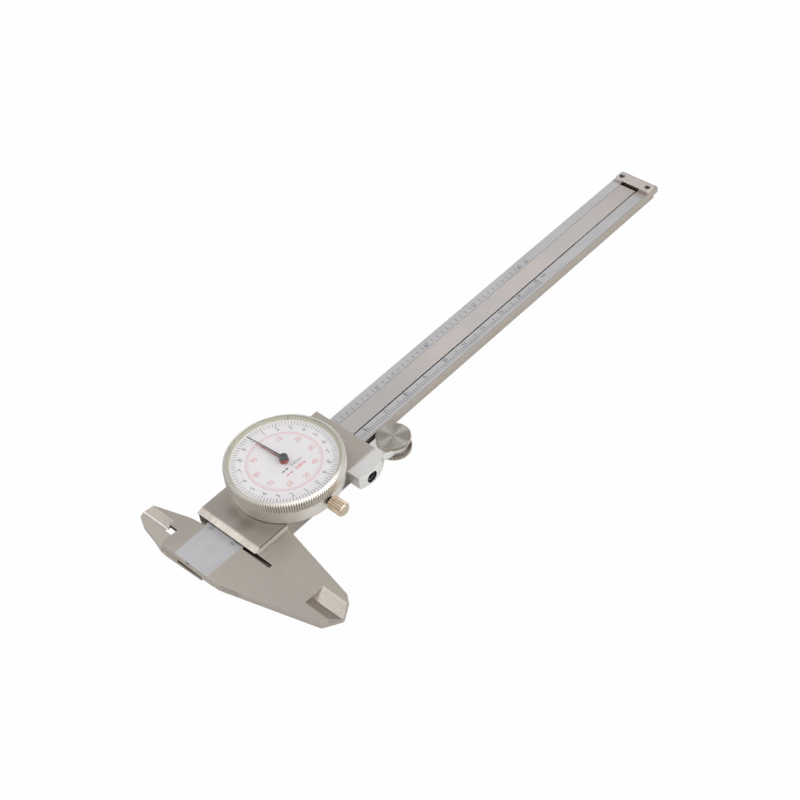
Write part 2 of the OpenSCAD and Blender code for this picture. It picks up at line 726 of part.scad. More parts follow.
module roller_block() {
  color([0.86, 0.86, 0.85]) difference() {
    union() {
      intersection() {
        box(block_x, slider_l + 0.7, -slider_y - block_r, -slider_y, block_z0, block_z1);
        pin_z(block_c[0], block_c[1], block_z0, block_z1, block_r);
      }
      slab([[slider_l + 0.1, -half_w - 1.2], [roller_x, roller_y + arm_r], [roller_x, roller_y - arm_r],
        [slider_l + 0.1, -slider_y - 2.9]], arm_z0, arm_z1);
      pin_z(roller_x, roller_y, arm_z0, arm_z1, arm_r);
    }
    pin_z(roller_x, roller_y, 0, bridge_z1, spindle_r + journal_gap);
    block_screw();
    pin_y(block_screw_x, mid_z, -slider_y - block_r, -block_seat_y, block_head_r + 0.25);
  }
}

module block_screw() {
  color([0.25, 0.24, 0.22]) difference() {
    union() {
      pin_y(block_screw_x, mid_z, -block_seat_y - 0.4, -half_w - 1, screw_r);
      pin_y(block_screw_x, mid_z, -block_seat_y - 1.6, -block_seat_y, block_head_r);
    }
    translate([block_screw_x, -block_seat_y - 0.6, mid_z]) rotate([90, 30, 0])
      cylinder(h = 2, r = 1.2, $fn = 6);
  }
}

module roller_upper() {
  color([0.6, 0.58, 0.55]) translate([roller_x, roller_y, 0]) {
    translate([0, 0, roller_z1 - disc_t]) knurl(roller_r, 0.3, 72, disc_t - 0.2);
    translate([0, 0, roller_z1 - 0.2]) cylinder(h = 0.2, r1 = roller_r - 0.35, r2 = roller_r - 0.55);
    pin_z(0, 0, roller_z0 + disc_t, roller_z1 - disc_t, spindle_r);
    pin_z(0, 0, roller_z0 + 0.2, roller_z0 + disc_t, spindle_r - 0.8);
  }
}

module roller_lower() {
  color([0.6, 0.58, 0.55]) translate([roller_x, roller_y, 0]) difference() {
    translate([0, 0, roller_z0]) knurl(roller_r, 0.3, 72, disc_t);
    pin_z(0, 0, 0, roller_z0 + disc_t + 1, spindle_r - 0.8);
  }
}

beam();
rack();
rack_cover();
rack_screws(true);
end_stop();
end_stop_screws(true);
slider_frame();
back_plate();
back_plate_screws(true);
gib_strip();
gib_screws();
slide_lock_screw();
depth_rod();
depth_rod_screws(true);
dial_case();
case_screws(true);
movement_plate();
movement_pillars();
movement_bridge();
movement_screws(true);
arbor_bush();
gear_arbor();
mm_wheel();
inch_wheel();
centre_arbor();
black_hand();
cannon_pinion();
red_hand();
bezel();
bezel_snap_ring();
dial_face();
dial_ring();
crystal();
bezel_lock_screw();
roller_block();
block_screw();
roller_upper();
roller_lower();
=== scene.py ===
import json
import math

import bmesh
import bpy
from mathutils import Matrix, Vector


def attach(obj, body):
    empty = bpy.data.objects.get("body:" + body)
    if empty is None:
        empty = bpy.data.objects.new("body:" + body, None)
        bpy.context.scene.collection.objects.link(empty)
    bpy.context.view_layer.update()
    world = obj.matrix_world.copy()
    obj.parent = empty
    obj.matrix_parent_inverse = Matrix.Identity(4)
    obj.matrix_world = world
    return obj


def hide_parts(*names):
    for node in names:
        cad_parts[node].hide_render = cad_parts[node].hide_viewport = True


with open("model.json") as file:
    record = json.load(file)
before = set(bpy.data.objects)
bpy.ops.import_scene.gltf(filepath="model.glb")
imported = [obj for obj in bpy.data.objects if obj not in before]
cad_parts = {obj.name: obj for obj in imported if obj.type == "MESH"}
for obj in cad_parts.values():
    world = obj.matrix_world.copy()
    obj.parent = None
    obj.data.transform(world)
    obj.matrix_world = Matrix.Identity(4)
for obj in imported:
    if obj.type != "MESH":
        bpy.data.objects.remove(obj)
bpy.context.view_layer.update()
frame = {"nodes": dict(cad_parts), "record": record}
nodes = frame["nodes"]
mm = 0.001
print("frame:", len(nodes), "CAD pieces")


class Bench:  # lays nodes in one tree, of a material, a group or the world
    def __init__(self, tree):
        self.tree = tree

    def add(self, kind, **settings):
        node = self.tree.nodes.new(kind)
        for key, value in settings.items():
            setattr(node, key, value)
        return node

    def put(self, socket, value):
        if isinstance(value, bpy.types.NodeSocket):
            self.tree.links.new(value, socket)
        elif hasattr(socket.default_value, "__len__") and len(value) == 3 and len(socket.default_value) == 4:
            socket.default_value = (*value, 1.0)
        else:
            socket.default_value = value

    def math(self, operation, *values):
        node = self.add("ShaderNodeMath", operation=operation)
        for socket, value in zip(node.inputs, values):
            self.put(socket, value)
        return node.outputs[0]

    def vector(self, operation, *values):
        node = self.add("ShaderNodeVectorMath", operation=operation)
        for socket, value in zip(node.inputs, values):
            self.put(socket, value)
        return node.outputs["Value" if operation in {"DOT_PRODUCT", "LENGTH"} else "Vector"]

    def mix(self, factor, first, second, blend="MIX"):
        node = self.add("ShaderNodeMix", data_type="RGBA", blend_type=blend)
        self.put(node.inputs["Factor"], factor)
        self.put(node.inputs[6], first)
        self.put(node.inputs[7], second)
        return node.outputs[2]

    def span(self, value, low, high, start=0.0, end=1.0):  # smooth step between two levels
        node = self.add("ShaderNodeMapRange", interpolation_type="SMOOTHSTEP")
        self.put(node.inputs["Value"], value)
        for label, level in zip(("From Min", "From Max", "To Min", "To Max"), (low, high, start, end)):
            self.put(node.inputs[label], level)
        return node.outputs[0]

    def place(self, centre=(0, 0, 0), scale=(1, 1, 1)):  # object coordinates, moved then scaled
        coords = self.add("ShaderNodeTexCoord").outputs["Object"]
        moved = self.vector("SUBTRACT", coords, tuple(c * mm for c in centre))
        return self.vector("MULTIPLY", moved, scale)

    def noise(self, vector, scale, detail=3.0, rough=0.55):
        node = self.add("ShaderNodeTexNoise", noise_dimensions="3D")
        self.put(node.inputs["Vector"], vector)
        for label, value in zip(("Scale", "Detail", "Roughness"), (scale, detail, rough)):
            self.put(node.inputs[label], value)
        return node.outputs["Fac"]

    def group(self, tree, **values):
        node = self.add("ShaderNodeGroup", node_tree=tree)
        for label, value in values.items():
            self.put(node.inputs[label], value)
        return node.outputs


def startGroup(name, inputs, outputs):
    tree = bpy.data.node_groups.new(name, "ShaderNodeTree")
    for label, kind, value in inputs:
        tree.interface.new_socket(name=label, in_out="INPUT", socket_type=kind).default_value = value
    for label, kind in outputs:
        tree.interface.new_socket(name=label, in_out="OUTPUT", socket_type=kind)
    bench = Bench(tree)
    return bench, bench.add("NodeGroupInput").outputs, bench.add("NodeGroupOutput").inputs


grindingSet = {
    "fineShare": 0.6, "broadShare": 0.4, "broadScale": 0.22, "contrast": (0.3, 0.7), "patchScale": 70.0,
    "patchContrast": (0.32, 0.68)}


def makeGrinding():  # long fine scratches of a surface grinder, with cloudy patches from handling
    bench, given, out = startGroup(
        "grindingLines",
        [("Along", "NodeSocketFloat", 90.0), ("Across", "NodeSocketFloat", 2600.0)],
        [("Lines", "NodeSocketFloat"), ("Patches", "NodeSocketFloat")])
    coords = bench.add("ShaderNodeTexCoord").outputs["Object"]
    scale = bench.add("ShaderNodeCombineXYZ")
    for socket, label in zip(scale.inputs, ("Along", "Across", "Across")):
        bench.put(socket, given[label])
    stretched = bench.vector("MULTIPLY", coords, scale.outputs[0])
    p = grindingSet
    fine = bench.noise(stretched, 1.0, 3.0, 0.7)
    broad = bench.noise(stretched, p["broadScale"], 2.0, 0.5)
    lines = bench.math("ADD", bench.math("MULTIPLY", fine, p["fineShare"]),
                       bench.math("MULTIPLY", broad, p["broadShare"]))
    bench.put(out["Lines"], bench.span(lines, *p["contrast"]))
    patches = bench.noise(coords, p["patchScale"], 3.0, 0.6)
    bench.put(out["Patches"], bench.span(patches, *p["patchContrast"]))
    return bench.tree


turningSet = {"detail": 3.0, "contrast": (0.3, 0.7), "patchScale": 260.0, "patchContrast": (0.32, 0.68)}


def makeTurning():  # rings left by a lathe round an axis parallel to Z
    bench, given, out = startGroup(
        "turningRings",
        [("Centre", "NodeSocketVector", (0, 0, 0)), ("Rings", "NodeSocketFloat", 6000.0)],
        [("Lines", "NodeSocketFloat"), ("Patches", "NodeSocketFloat")])
    coords = bench.add("ShaderNodeTexCoord").outputs["Object"]
    flat = bench.vector("MULTIPLY", bench.vector("SUBTRACT", coords, given["Centre"]), (1, 1, 0))
    node = bench.add("ShaderNodeTexNoise", noise_dimensions="1D")
    bench.put(node.inputs["W"], bench.math("MULTIPLY", bench.vector("LENGTH", flat), given["Rings"]))
    node.inputs["Scale"].default_value = 1.0
    p = turningSet
    node.inputs["Detail"].default_value = p["detail"]
    bench.put(out["Lines"], bench.span(node.outputs["Fac"], *p["contrast"]))
    patches = bench.noise(coords, p["patchScale"], 2.0, 0.5)
    bench.put(out["Patches"], bench.span(patches, *p["patchContrast"]))
    return bench.tree


edgeSet = {"samples": 6, "turn": (0.004, 0.12), "breakScale": 700.0, "breakContrast": (0.25, 0.6), "leastWear": 0.35}


def makeEdgeWear():  # rounded edges and where hands have rubbed them bright
    bench, given, out = startGroup(
        "edgeWear", [("Radius", "NodeSocketFloat", 0.00015)],
        [("Edge", "NodeSocketFloat"), ("Normal", "NodeSocketVector")])
    soft = bench.add("ShaderNodeBevel", samples=edgeSet["samples"])
    bench.put(soft.inputs["Radius"], given["Radius"])
    flat = bench.add("ShaderNodeNewGeometry").outputs["Normal"]
    turn = bench.math("SUBTRACT", 1.0, bench.vector("DOT_PRODUCT", soft.outputs[0], flat))
    broken = bench.noise(bench.add("ShaderNodeTexCoord").outputs["Object"], edgeSet["breakScale"], 2.0, 0.6)
    rubbed = bench.span(broken, *edgeSet["breakContrast"], edgeSet["leastWear"], 1.0)
    bench.put(out["Edge"], bench.math("MULTIPLY", bench.span(turn, *edgeSet["turn"]), rubbed))
    bench.put(out["Normal"], soft.outputs[0])
    return bench.tree


def makeCrevice():  # oil and dust that stay in inner corners of the same piece
    bench, given, out = startGroup(
        "creviceDirt",
        [("Reach", "NodeSocketFloat", 0.001), ("Open", "NodeSocketFloat", 0.85), ("Deep", "NodeSocketFloat", 0.2)],
        [("Dirt", "NodeSocketFloat")])
    hollow = bench.add("ShaderNodeAmbientOcclusion", samples=6, only_local=True)  # few samples will do
    bench.put(hollow.inputs["Distance"], given["Reach"])
    bench.put(out["Dirt"], bench.span(hollow.outputs["AO"], given["Open"], given["Deep"]))
    return bench.tree


grinding, turning, edgeWear, crevice = makeGrinding(), makeTurning(), makeEdgeWear(), makeCrevice()
print("shared effects: grinding, turning, edge wear, crevice dirt")


def startMaterial(name):
    material = bpy.data.materials.new(name)
    material.use_nodes = True
    bench = Bench(material.node_tree)
    surface = material.node_tree.nodes["Principled BSDF"]
    return material, bench, surface


seamZone = {"beside": (0.35, 0.6), "below": (-19.6, -19.3)}  # the closed jaws' meeting edges, in mm


def awayFromSeam(bench):  # 0 on the edges where the closed jaws meet, 1 elsewhere
    split = bench.add("ShaderNodeSeparateXYZ")
    bench.put(split.inputs[0], bench.place(scale=(1000, 1000, 1000)))
    beside = bench.span(bench.math("ABSOLUTE", split.outputs[0]), *seamZone["beside"])
    return bench.math("MAXIMUM", beside, bench.span(split.outputs[1], *seamZone["below"]))


def inBoxes(bench, boxes, fade=0.06):  # 1 inside any of the boxes, given in mm as x, x, y, y, z, z
    split = bench.add("ShaderNodeSeparateXYZ")
    bench.put(split.inputs[0], bench.place(scale=(1000, 1000, 1000)))
    mask = 0.0
    for box in boxes:
        inside = 1.0
        for axis in range(3):
            low, high = box[2 * axis:2 * axis + 2]
            inside = bench.math("MULTIPLY", inside, bench.span(split.outputs[axis], low - fade, low + fade))
            inside = bench.math("MULTIPLY", inside, bench.span(split.outputs[axis], high + fade, high - fade))
        mask = bench.math("MAXIMUM", mask, inside)
    return mask


levelFade = 0.05  # mm


def nearAxis(bench, haze):  # painted light and shade, fading out with the distance from an upright axis, above a level
    spot = bench.place(haze["axis"], (1000, 1000, 1000))
    height = bench.add("ShaderNodeSeparateXYZ")
    bench.put(height.inputs[0], spot)
    reach = bench.vector("LENGTH", bench.vector("MULTIPLY", spot, (1, 1, 0)))
    fade = bench.span(reach, haze["near"], haze["far"], haze["share"], 0.0)
    return bench.math("MULTIPLY", fade, bench.span(height.outputs[2], haze["level"] - levelFade, haze["level"]))


def metal(name, recipe):
    material, bench, surface = startMaterial(name)
    if recipe.get("axis"):
        pattern = bench.group(turning, Centre=tuple(c * mm for c in recipe["axis"]), Rings=recipe["across"])
    else:
        pattern = bench.group(grinding, Along=recipe["along"], Across=recipe["across"])
    radius = recipe["edge"] * mm
    if recipe.get("seam"):
        radius = bench.math("MULTIPLY", awayFromSeam(bench), radius)
    wear = bench.group(edgeWear, Radius=radius)
    dirt = bench.group(crevice, Reach=recipe["dirtReach"] * mm, Open=recipe["dirtOpen"], Deep=recipe["dirtDeep"])
    shade = [c * recipe["lineShade"] for c in recipe["colour"]]
    tone = bench.mix(bench.math("MULTIPLY", pattern["Lines"], recipe["lineMix"]), recipe["colour"], shade)
    tone = bench.mix(bench.math("MULTIPLY", pattern["Patches"], recipe["patchMix"]), tone, recipe["patch"])
    tone = bench.mix(bench.math("MULTIPLY", wear["Edge"], recipe["wear"]), tone, recipe["bright"])
    tone = bench.mix(bench.math("MULTIPLY", dirt["Dirt"], recipe["dirt"]), tone, recipe["dirtColour"])
    # painted light and shade, each round an upright axis
    for haze in recipe.get("hazes", []):
        tone = bench.mix(nearAxis(bench, haze), tone, haze["colour"])
    for mark in recipe.get("marks", []):
        tone = bench.mix(bench.math("MULTIPLY", inBoxes(bench, mark["boxes"]), mark["share"]), tone, mark["colour"])
    bench.put(surface.inputs["Base Color"], tone)
    rough = bench.math("MULTIPLY_ADD", pattern["Lines"], recipe["lineRough"], recipe["rough"])
    rough = bench.math("MULTIPLY_ADD", pattern["Patches"], recipe["patchRough"], rough)
    bench.put(surface.inputs["Roughness"], rough)
    surface.inputs["Metallic"].default_value = 1.0
    bump = bench.add("ShaderNodeBump")
    bump.inputs["Strength"].default_value = recipe["bump"]
    bump.inputs["Distance"].default_value = recipe["bumpDepth"] * mm
    bench.put(bump.inputs["Height"], pattern["Lines"])
    bench.put(bump.inputs["Normal"], wear["Normal"])
    bench.put(surface.inputs["Normal"], bump.outputs[0])
    if recipe.get("axis") and recipe.get("fan"):
        surface.inputs["Anisotropic"].default_value = recipe["fan"]
        surface.inputs["Anisotropic Rotation"].default_value = 0.25  # highlights fan out across the rings
        tangent = bench.add("ShaderNodeTangent", direction_type="RADIAL", axis="Z")
        bench.put(surface.inputs["Tangent"], tangent.outputs[0])
    return material


steelRecipe = {
    "colour": (0.565, 0.515, 0.455), "patch": (0.52, 0.465, 0.415), "bright": (0.84, 0.80, 0.75),
    "dirtColour": (0.13, 0.12, 0.11), "dirtOpen": 0.85, "dirtDeep": 0.2, "dirtReach": 0.9, "dirt": 0.6,
    "along": 60.0, "across": 2600.0, "rough": 0.30, "lineRough": 0.10, "patchRough": 0.06, "lineShade": 0.86,
    "lineMix": 0.6, "patchMix": 0.5, "wear": 0.35, "edge": 0.16, "bump": 0.14, "bumpDepth": 0.02}


def steel(**changes):
    return {**steelRecipe, **changes}


def brass(**changes):
    return steel(colour=(0.60, 0.46, 0.22), patch=(0.52, 0.39, 0.19), bright=(0.85, 0.70, 0.42),
                 dirtColour=(0.12, 0.08, 0.03), rough=0.24, **changes)


# dark brown for painted shade in slots, gaps, holes and under parts, and for a nick on the beam
shadeAndNickBrown = (0.10, 0.075, 0.055)
dialAxis = (27.0, 0.0, 0.0)
rollerAxis = (61.6, -13.95, 0.0)
arborAxis = (18.653, -2.85, 0.0)

bezelRecipe = steel(
    colour=(0.88, 0.85, 0.79), patch=(0.82, 0.79, 0.74), bright=(0.98, 0.96, 0.92), axis=dialAxis, across=9000.0,
    rough=0.30, edge=0.10, lineMix=0.4, patchMix=0.3, wear=0.6, dirtReach=0.5, dirt=0.88, dirtOpen=0.76, dirtDeep=0.38,
    dirtColour=(0.17, 0.145, 0.115), bump=0.08)

finishes = {
    "slider_steel": metal("groundSlider", steel(
        colour=(0.58, 0.54, 0.485), patch=(0.52, 0.47, 0.415), along=70.0, rough=0.34, seam=True,
        hazes=[{"axis": dialAxis, "near": 18.6, "far": 25.0, "level": 6.3, "share": 0.14,
                "colour": (0.25, 0.225, 0.20)},  # painted shade round the foot of the case
               {"axis": (4.0, 0.0, 0.0), "near": 7.0, "far": 19.0, "level": 6.3, "share": 0.42,
                "colour": (0.27, 0.25, 0.23)},  # the end at the jaws is turned from the light
               {"axis": (6.6, 3.4, 0.0), "near": 0.6, "far": 4.6, "level": 6.3, "share": 0.38,
                "colour": (0.18, 0.155, 0.13)},
               {"axis": (5.6, -2.8, 0.0), "near": 0.6, "far": 4.8, "level": 6.3, "share": 0.48,
                "colour": (0.18, 0.155, 0.13)},  # two painted patches of the case's shade on the top
               # painted shade of the case on the front corner
               {"axis": (12.6, -12.2, 0.0), "near": 0.5, "far": 4.0, "level": 6.3, "share": 0.30,
                "colour": (0.22, 0.20, 0.175)},
               {"axis": (0.7, 13.0, 0.0), "near": 3.0, "far": 13.0, "level": 5.5, "share": 0.28,
                "colour": (0.34, 0.31, 0.285)},  # painted shade at the roots of the two jaws
               {"axis": (5.0, -14.0, 0.0), "near": 3.0, "far": 11.0, "level": 4.9, "share": 0.22,
                "colour": (0.30, 0.27, 0.24)}],
        # painted shade in the slot between the jaws, beside the inside blade, on the end face by the head and under
        # the head's end
        marks=[{"colour": shadeAndNickBrown, "share": 0.92, "boxes": [
                    (-0.5, 0.4, -20.0, -8.0, 1.75, 5.0), (-10.6, -10.4, 13.2, 17.8, 1.7, 3.1),
                    (-0.6, 0.1, 8.0, 13.2, 1.75, 5.6), (-15.5, -14.6, -4.0, 6.7, 1.1, 1.3)]},
               # painted shadow of the case on the side wall left of the block
               {"colour": (0.24, 0.215, 0.19), "share": 0.6, "boxes": [(30.0, 41.2, -13.2, -12.85, 0.5, 6.3)]},
               # painted shade along the front top edge by the jaw
               {"colour": shadeAndNickBrown, "share": 0.75, "boxes": [(1.6, 13.5, -13.12, -12.78, 6.0, 6.5)]},
               # painted shade on the front edge above the block
               {"colour": (0.30, 0.28, 0.255), "share": 0.8, "boxes": [(41.4, 53.8, -13.8, -12.98, 5.8, 6.36)]}])),
    "rack_steel": metal("milledRack", steel(
        colour=(0.36, 0.34, 0.31), rough=0.34, dirt=0.9,
        # painted shade at the rack's end under the end stop
        marks=[{"colour": shadeAndNickBrown, "share": 0.9, "boxes": [(205.0, 216.0, -6.0, 6.0, 1.0, 5.2)]}])),
    "scale_strip": metal("brushedStrip", steel(
        colour=(0.86, 0.785, 0.755), patch=(0.73, 0.69, 0.675), along=14.0, across=1700.0, rough=0.30, lineShade=0.88,
        patchMix=0.8,
        hazes=[{"axis": (62.0, 0.0, 0.0), "near": 8.0, "far": 50.0, "level": 4.9, "share": 0.75,
                "colour": (0.63, 0.605, 0.595)},
               {"axis": (211.0, 0.0, 0.0), "near": 4.0, "far": 26.0, "level": 4.9, "share": 0.6,
                "colour": (0.64, 0.585, 0.565)}])),  # painted shade, darker towards the slider and towards the end stop
    "screw_steel": metal("oiledScrew", steel(
        colour=(0.13, 0.13, 0.14), patch=(0.08, 0.08, 0.085), bright=(0.40, 0.38, 0.36), rough=0.36)),
    "gib_brass": metal("gibBrass", brass()),
    "case_metal": metal("turnedCase", steel(
        colour=(0.90, 0.865, 0.80), patch=(0.84, 0.81, 0.76), axis=dialAxis, across=9000.0, rough=0.36, edge=0.25,
        lineMix=0.4, patchMix=0.3, wear=0.4, bump=0.08,
        # painted shadow line at the case's foot
        marks=[{"colour": shadeAndNickBrown, "share": 0.9, "boxes": [(8.0, 46.0, -19.0, 19.0, 6.2, 6.62)]}])),
    "bezel_metal": metal("turnedBezel", {**bezelRecipe, "hazes": [
        # painted shade on the rim between the teeth
        {"axis": dialAxis, "near": 18.92, "far": 18.80, "level": 15.3, "share": 0.45, "colour": (0.24, 0.21, 0.17)}]}),
    "movement_brass": metal("lappedBrass", brass(along=300.0)),
    "train_brass": metal("wheelBrass", brass(axis=arborAxis, across=14000.0, fan=0.5)),
    "arbor_steel": metal("arborSteel", steel(colour=(0.55, 0.55, 0.54), rough=0.18)),
    "lock_brass": metal("knurledBrass", steel(
        colour=(0.86, 0.72, 0.565), patch=(0.80, 0.665, 0.515), bright=(0.96, 0.89, 0.78), wear=0.5,
        dirtColour=(0.07, 0.045, 0.03), along=500.0, rough=0.28, edge=0.05, dirtReach=0.5, dirt=0.88, dirtOpen=0.82,
        dirtDeep=0.5,
        # painted shade at the root of the knob's stem
        marks=[{"colour": shadeAndNickBrown, "share": 0.9, "boxes": [(22.0, 32.0, -20.05, -17.0, 6.0, 13.0)]},
               {"colour": (0.62, 0.54, 0.43), "share": 0.8, "boxes": [(22.0, 32.0, -26.0, -25.3, 6.0, 13.0)]}])),
    "block_alloy": metal("milledBlock", steel(
        colour=(0.93, 0.92, 0.90), patch=(0.89, 0.89, 0.88), bright=(0.97, 0.97, 0.96), along=240.0, across=1500.0,
        rough=0.33, lineShade=0.93, lineMix=0.5, edge=0.2,
        # painted shade in the screw's socket
        marks=[{"colour": shadeAndNickBrown, "share": 0.95, "boxes": [(43.5, 48.3, -18.55, -16.0, 1.1, 5.6)]}])),
    "roller_steel": metal("facedRoller", steel(
        colour=(0.55, 0.52, 0.48), axis=rollerAxis, across=7000.0, rough=0.40, fan=1.0, patchMix=0.1, dirtReach=0.35,
        dirt=0.9, dirtOpen=0.92, dirtDeep=0.5, dirtColour=(0.12, 0.095, 0.065), bump=0.12, lineRough=0.05,
        # painted highlight on the knurl's crests
        hazes=[{"axis": rollerAxis, "near": 5.76, "far": 5.68, "level": 0.0, "share": 0.85,
                "colour": (0.86, 0.79, 0.66)}],
        # painted shadow of the upper disc on the lower disc's top
        marks=[{"colour": (0.17, 0.145, 0.115), "share": 0.8, "boxes": [(50.0, 70.0, -22.0, -6.0, 1.5, 1.62)]}])),
}
rimMetal = metal("turnedRim", {
    **bezelRecipe, "dirt": 0.85, "dirtReach": 0.35, "dirtOpen": 0.8, "dirtDeep": 0.5, "edge": 0.05,
    # painted highlight on the lip's inner edge
    "hazes": [{"axis": dialAxis, "near": 18.26, "far": 18.31, "level": 15.0, "share": 1.0,
               "colour": (0.90, 0.88, 0.82)}]})
lockSteel = metal("facedLock", steel(along=300.0, dirtReach=0.4))
stopSteel = metal("satinStop", steel(
    colour=(0.80, 0.735, 0.70), patch=(0.75, 0.69, 0.66), along=900.0, across=1400.0, rough=0.40, edge=0.4, bump=0.08,
    # painted shade on the bar's side over the strip
    marks=[{"colour": (0.16, 0.14, 0.12), "share": 0.85, "boxes": [(211.8, 212.2, -3.3, 4.4, 5.0, 6.0)]}]))
print("metal finishes:", len(finishes), "by slot, and three for single pieces")


scaleFace = {  # the beam's satin band, in mm, and its tones, with painted shade beside the slider and the end stop and painted light rising towards the far end
    "edgeY": 7.4, "backY": 8.3, "startX": -15.6, "endX": 208.8, "topZ": 5.02, "fade": 0.12,
    "farX": 213.5, "shadeX": (-4.2, -0.6), "shade": (0.30, 0.295, 0.29), "shadeShare": 0.4, "gainX": (0.0, 130.0),
    "headTone": (0.93, 0.93, 0.93), "farTone": (1.10, 1.10, 1.09), "beamX": 6.0,
    "stopShade": (211.0, 212.2, -7.9, 7.9, 5.0, 5.2), "stopFade": 0.3, "stopShare": 0.75, "shadeEnd": (1.5, 0.5),
    "endFade": 1.5, "farFade": 0.2, "middleFade": 0.1, "topFade": 0.05, "roughSpread": 0.12, "cloud": 120.0,
    "satin": (0.67, 0.665, 0.69), "satinDark": (0.61, 0.605, 0.625), "satinRough": 0.46, "grain": 5200.0}


def beamSteel():
    material = metal("groundBeam", steel(
        colour=(0.575, 0.525, 0.47), seam=True, wear=0.12,
        # painted shade round the inside blades
        hazes=[{"axis": (-8.0, 20.0, 0.0), "near": 10.0, "far": 17.0, "level": 3.0, "share": 0.28,
                "colour": (0.33, 0.30, 0.275)}],
        # painted shade in the gap at the head's end; the second box is a small nick
        marks=[{"colour": shadeAndNickBrown, "share": 0.92, "boxes": [
                    (-15.5, -15.1, -4.2, 6.9, 1.66, 2.1), (-15.5, -15.0, 0.8, 2.2, 4.1, 5.2)]},
               # painted shade in the channel under the end stop
               {"colour": (0.20, 0.165, 0.135), "share": 0.92, "boxes": [(210.7, 213.3, -5.0, 5.0, 1.9, 4.9)]},
               # painted shade in the inside blade's hole
               {"colour": (0.27, 0.23, 0.195), "share": 0.95, "boxes": [(-11.0, -8.6, 13.25, 17.05, 1.75, 5.0)]},
               # painted shade on the walls of the slot between the jaws
               {"colour": (0.17, 0.14, 0.115), "share": 0.95, "boxes": [(-1.4, -0.05, -20.0, -7.9, 1.75, 5.0)]},
               # painted shade on the top beside the slot, which makes it look wider
               {"colour": (0.085, 0.07, 0.055), "share": 0.95, "boxes": [(-1.22, 0.1, -19.85, -8.0, 5.0, 5.2)]},
               # painted shade at the jaw's shoulder and on the wall near the jaw's tip
               {"colour": (0.36, 0.32, 0.29), "share": 0.5, "boxes": [
                    (-15.3, -12.4, -18.5, -12.5, 2.4, 4.7), (-3.55, 0.1, -49.2, -37.2, 3.0, 5.0)]},
               # painted highlight along the inside blade's edge
               {"colour": (0.95, 0.93, 0.90), "share": 0.9, "boxes": [(-10.1, -9.6, 17.0, 28.6, 3.2, 3.66)]}]))
    bench = Bench(material.node_tree)
    surface = material.node_tree.nodes["Principled BSDF"]
    split = bench.add("ShaderNodeSeparateXYZ")
    bench.put(split.inputs[0], bench.place(scale=(1000, 1000, 1000)))
    x, y, z = split.outputs
    s = scaleFace
    side = bench.math("MULTIPLY", bench.span(y, -s["edgeY"] - s["fade"], -s["edgeY"] + s["fade"]),
                      bench.math("LESS_THAN", y, bench.span(x, s["beamX"], s["beamX"] + 1, s["edgeY"], s["backY"])))
    start = bench.span(x, s["startX"] - s["fade"], s["startX"] + s["fade"])
    lower = bench.span(x, s["endX"] + s["endFade"], s["endX"] - s["endFade"])
    upper = bench.math("MULTIPLY", bench.span(y, -s["middleFade"], s["middleFade"]),
                       bench.span(x, s["farX"] + s["farFade"], s["farX"] - s["farFade"]))
    end = bench.math("MAXIMUM", lower, upper)
    top = bench.span(z, s["topZ"], s["topZ"] + s["topFade"])
    mask = bench.math("MULTIPLY", bench.math("MULTIPLY", side, top), bench.math("MULTIPLY", start, end))
    grain = bench.noise(bench.place(), s["grain"], 2.0, 0.6)
    cloud = bench.noise(bench.place(scale=(0.5, 1, 1)), s["cloud"], 3.0, 0.6)
    satin = bench.mix(bench.span(cloud, 0.3, 0.7), s["satin"], s["satinDark"])
    # painted light: the satin is lighter towards the far end
    gain = bench.mix(bench.span(x, *s["gainX"]), s["headTone"], s["farTone"])
    satin = bench.mix(1.0, satin, gain, "MULTIPLY")
    besideSlider = bench.math("MULTIPLY", bench.span(x, *s["shadeX"]), bench.span(x, *s["shadeEnd"]))
    satin = bench.mix(bench.math("MULTIPLY", besideSlider, s["shadeShare"]), satin, s["shade"])
    plainColour = surface.inputs["Base Color"].links[0].from_socket
    plainRough = surface.inputs["Roughness"].links[0].from_socket
    tone = bench.mix(mask, plainColour, satin)
    shaded = bench.math("MULTIPLY", inBoxes(bench, [s["stopShade"]], s["stopFade"]), s["stopShare"])
    bench.put(surface.inputs["Base Color"], bench.mix(shaded, tone, shadeAndNickBrown))
    satinRough = bench.math("MULTIPLY_ADD", grain, s["roughSpread"], s["satinRough"] - s["roughSpread"] / 2)
    roughMix = bench.add("ShaderNodeMix", data_type="FLOAT")
    bench.put(roughMix.inputs[0], mask)
    bench.put(roughMix.inputs[2], plainRough)
    bench.put(roughMix.inputs[3], satinRough)
    bench.put(surface.inputs["Roughness"], roughMix.outputs[0])
    return material


lacquerSet = {"cloud": 900.0, "edge": 0.08, "wear": 0.25, "worn": (0.5, 0.45, 0.42), "spread": 0.12, "coatRough": 0.12}


def lacquer(name, colour, deep, rough, coat):
    material, bench, surface = startMaterial(name)
    p = lacquerSet
    cloud = bench.noise(bench.place(), p["cloud"], 2.0, 0.5)
    wear = bench.group(edgeWear, Radius=p["edge"] * mm)
    tone = bench.mix(bench.span(cloud, 0.3, 0.7), colour, deep)
    tone = bench.mix(bench.math("MULTIPLY", wear["Edge"], p["wear"]), tone, p["worn"])
    bench.put(surface.inputs["Base Color"], tone)
    bench.put(surface.inputs["Roughness"], bench.math("MULTIPLY_ADD", cloud, p["spread"], rough))
    bench.put(surface.inputs["Normal"], wear["Normal"])
    surface.inputs["Coat Weight"].default_value = coat
    surface.inputs["Coat Roughness"].default_value = p["coatRough"]
    return material


enamelSet = {"cloud": 130.0, "spread": 0.15, "bump": 0.06, "bumpDepth": 0.01}


